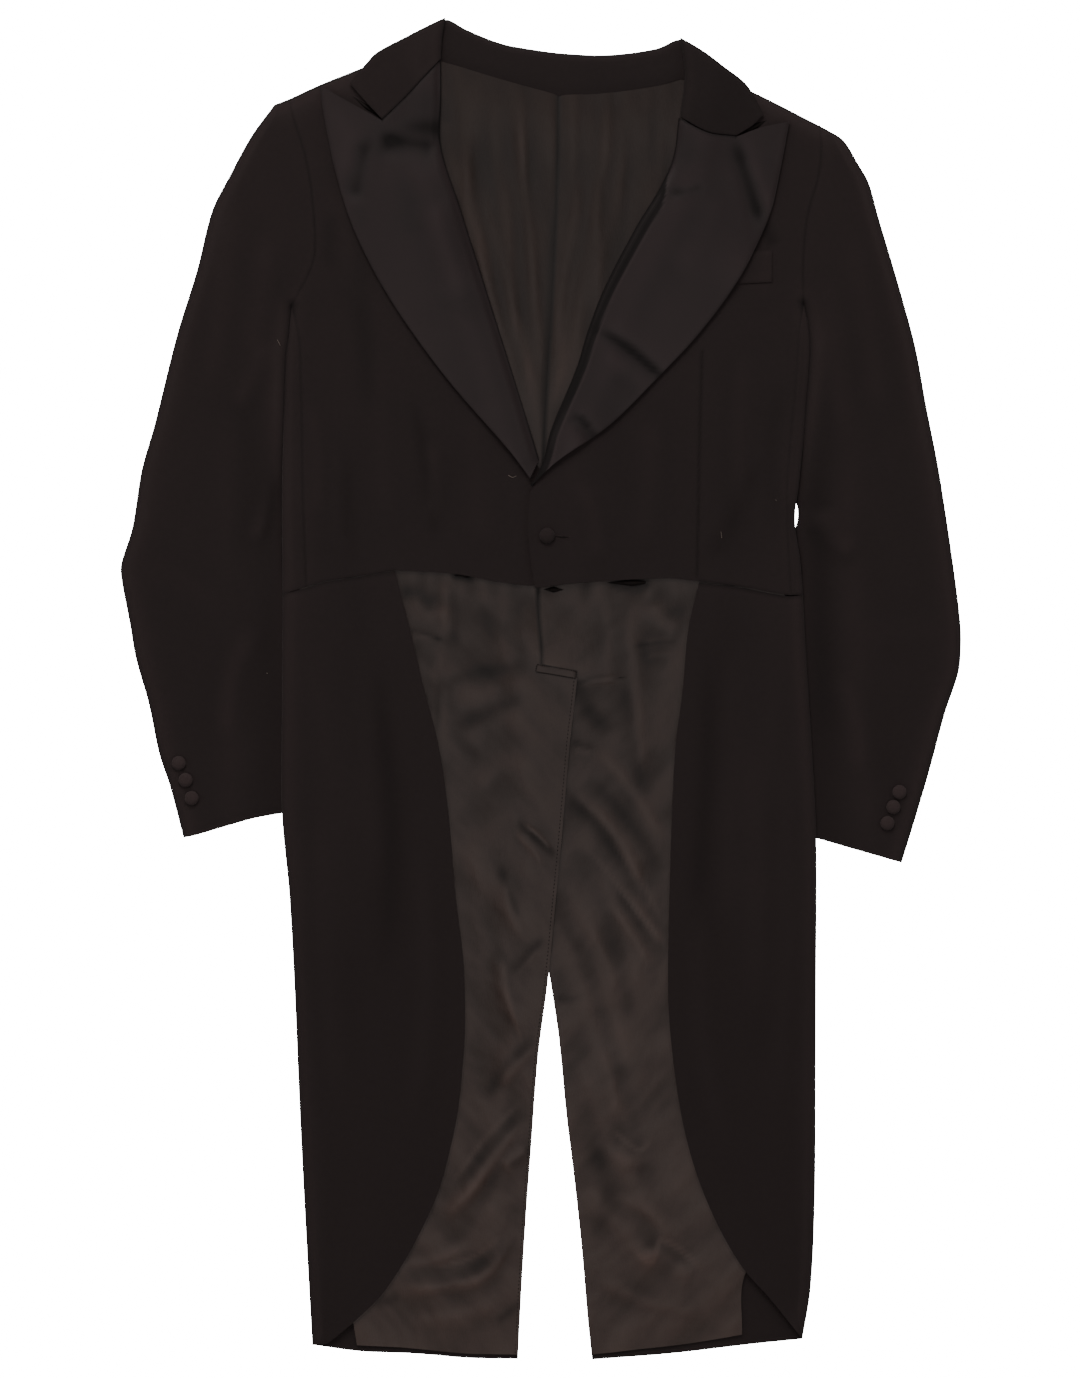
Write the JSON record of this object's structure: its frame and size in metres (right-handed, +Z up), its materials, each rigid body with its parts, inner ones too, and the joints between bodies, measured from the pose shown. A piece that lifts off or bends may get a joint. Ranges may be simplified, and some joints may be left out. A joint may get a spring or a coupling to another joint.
{
  "type": "white tie tailcoat laid flat",
  "caption": "Evening tailcoat laid flat, front up: peaked satin lapels, one front button, waist-length fronts cut away to lined tails.",
  "frame": {"origin": "centre of the coat's outline on the surface that it lies on", "axes": "+X towards the wearer's left side, +Y towards the collar, +Z up from the surface, out of the coat's front"},
  "size_m": [0.7146, 1.1408, 0.0121],
  "materials": {
    "wool_cloth": "fine twill wool, matt",
    "satin_facing": "satin, soft sheen",
    "lining": "thin sateen, low sheen",
    "covered_button": "cloth-covered, soft sheen"
  },
  "bodies": {
    "root": {"back_right": "wool_cloth", "back_left": "wool_cloth", "lining_right": "lining", "lining_left": "lining", "forepart_right": "wool_cloth", "forepart_left": "wool_cloth", "side_body_right": "wool_cloth", "side_body_left": "wool_cloth", "skirt_right": "wool_cloth", "skirt_left": "wool_cloth", "top_sleeve_right": "wool_cloth", "top_sleeve_left": "wool_cloth", "under_sleeve_right": "wool_cloth", "under_sleeve_left": "wool_cloth", "lapel_right": "satin_facing", "lapel_left": "satin_facing", "collar_leaf_right": "wool_cloth", "collar_leaf_left": "wool_cloth", "collar_stand": "wool_cloth", "breast_welt": "wool_cloth", "vent_stay": "lining", "front_button": "covered_button", "cuff_button_right_1": "covered_button", "cuff_button_right_2": "covered_button", "cuff_button_right_3": "covered_button", "cuff_button_left_1": "covered_button", "cuff_button_left_2": "covered_button", "cuff_button_left_3": "covered_button"}
  },
  "joints": []
}
